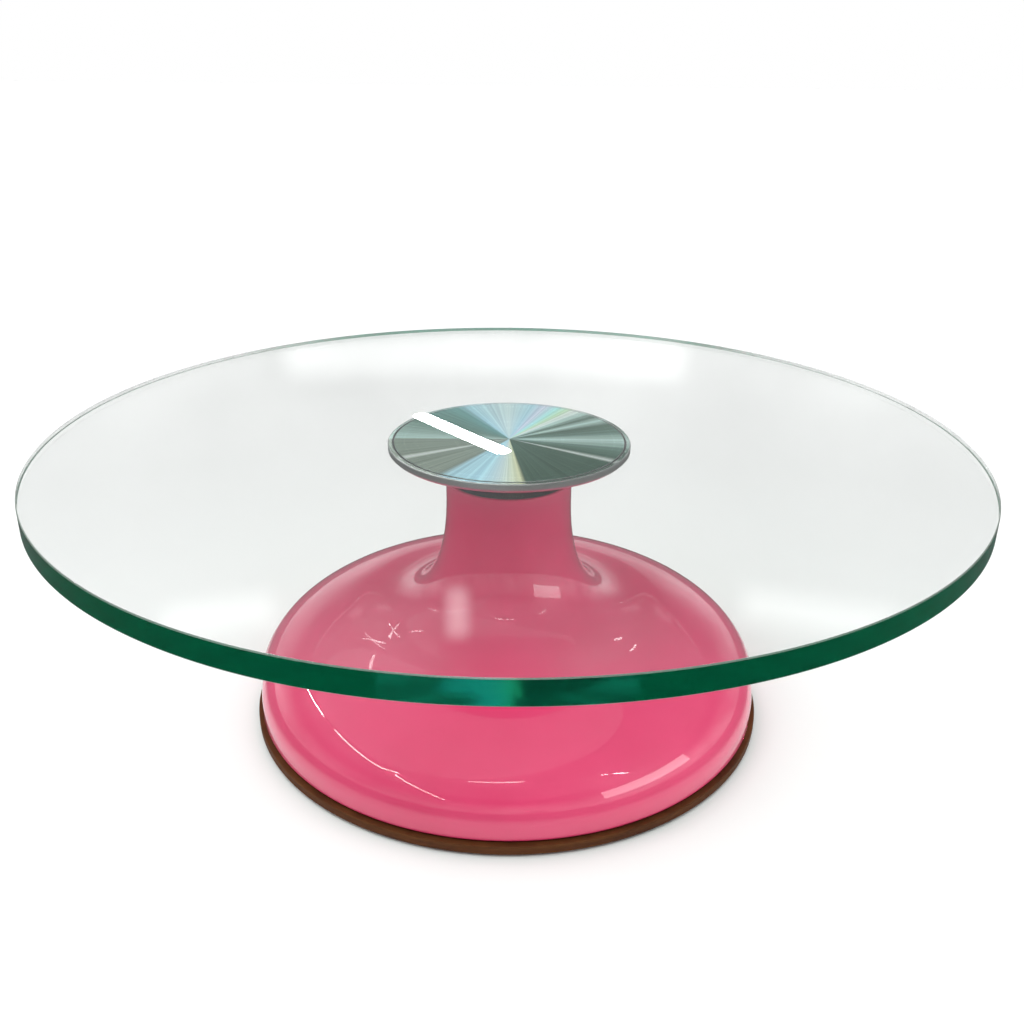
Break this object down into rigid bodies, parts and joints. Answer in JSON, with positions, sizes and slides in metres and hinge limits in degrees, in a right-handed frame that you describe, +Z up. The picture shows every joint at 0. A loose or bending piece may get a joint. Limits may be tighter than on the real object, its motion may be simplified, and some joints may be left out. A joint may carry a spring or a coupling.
{
  "type": "cake turntable",
  "caption": "Revolving cake stand: a round glass plate bonded to a turned disc, on a ball-bearing spindle in a flared, painted pedestal with a wooden base.",
  "frame": {"origin": "on the spindle's axis, at the surface that the turntable stands on", "axes": "+Z up along the spindle; X and Y are level, and the four feet are at 45 degrees to them"},
  "size_m": [0.3999, 0.4, 0.1327],
  "materials": {
    "pink_paint": "high gloss",
    "clear_glass": "polished",
    "clear_bond": "clear cured resin",
    "turned_aluminium": "fine face-turned",
    "hardboard": "pressed fibre, bare edge",
    "cast_aluminium": "machined",
    "ground_steel": "ground",
    "bearing_steel": "polished",
    "zinc_steel": "zinc plated",
    "spring_steel": "phosphated",
    "black_oxide_steel": "black oxide",
    "black_plastic": "moulded",
    "cage_nylon": "natural nylon",
    "seal_rubber": "moulded",
    "rubber_pad": "matte",
    "adhesive": "cured contact adhesive"
  },
  "bodies": {
    "pedestal": {"anti_slip_feet": "rubber_pad", "base_board": "hardboard", "rim_adhesive": "adhesive", "access_plug": "black_plastic", "pedestal_shell": "pink_paint", "bearing_housing": "cast_aluminium", "housing_screws": "zinc_steel", "neck_centring_ring": "black_plastic", "bearing_retaining_ring": "spring_steel", "dust_cover": "black_plastic", "lower_bearing_outer_race": "bearing_steel", "upper_bearing_outer_race": "bearing_steel", "lower_bearing_seals": "seal_rubber", "upper_bearing_seals": "seal_rubber", "outer_spacer_sleeve": "zinc_steel"},
    "platter": {"glass_plate": "clear_glass", "bonding_film": "clear_bond", "mounting_disc": "turned_aluminium", "spindle": "ground_steel", "lower_bearing_inner_race": "bearing_steel", "upper_bearing_inner_race": "bearing_steel", "inner_spacer_sleeve": "zinc_steel", "retaining_washer": "zinc_steel", "lock_washer": "spring_steel", "retaining_bolt": "black_oxide_steel"},
    "upper_cage": {"upper_bearing_balls": "bearing_steel", "upper_bearing_cage": "cage_nylon"},
    "lower_cage": {"lower_bearing_balls": "bearing_steel", "lower_bearing_cage": "cage_nylon"}
  },
  "joints": [
    {"name": "platter_spin", "type": "hinge", "parent": "pedestal", "child": "platter", "pos_m": [0, 0, 0.09], "axis": [0, 0, 1], "continuous": true},
    {"name": "upper_cage_spin", "type": "hinge", "parent": "pedestal", "child": "upper_cage", "pos_m": [0, 0, 0.088], "axis": [0, 0, 1], "continuous": true},
    {"name": "lower_cage_spin", "type": "hinge", "parent": "pedestal", "child": "lower_cage", "pos_m": [0, 0, 0.044], "axis": [0, 0, 1], "continuous": true}
  ],
  "couplings": [
    {"joint": "upper_cage_spin", "follows": "platter_spin", "ratio": 0.39758},
    {"joint": "lower_cage_spin", "follows": "platter_spin", "ratio": 0.39758}
  ]
}
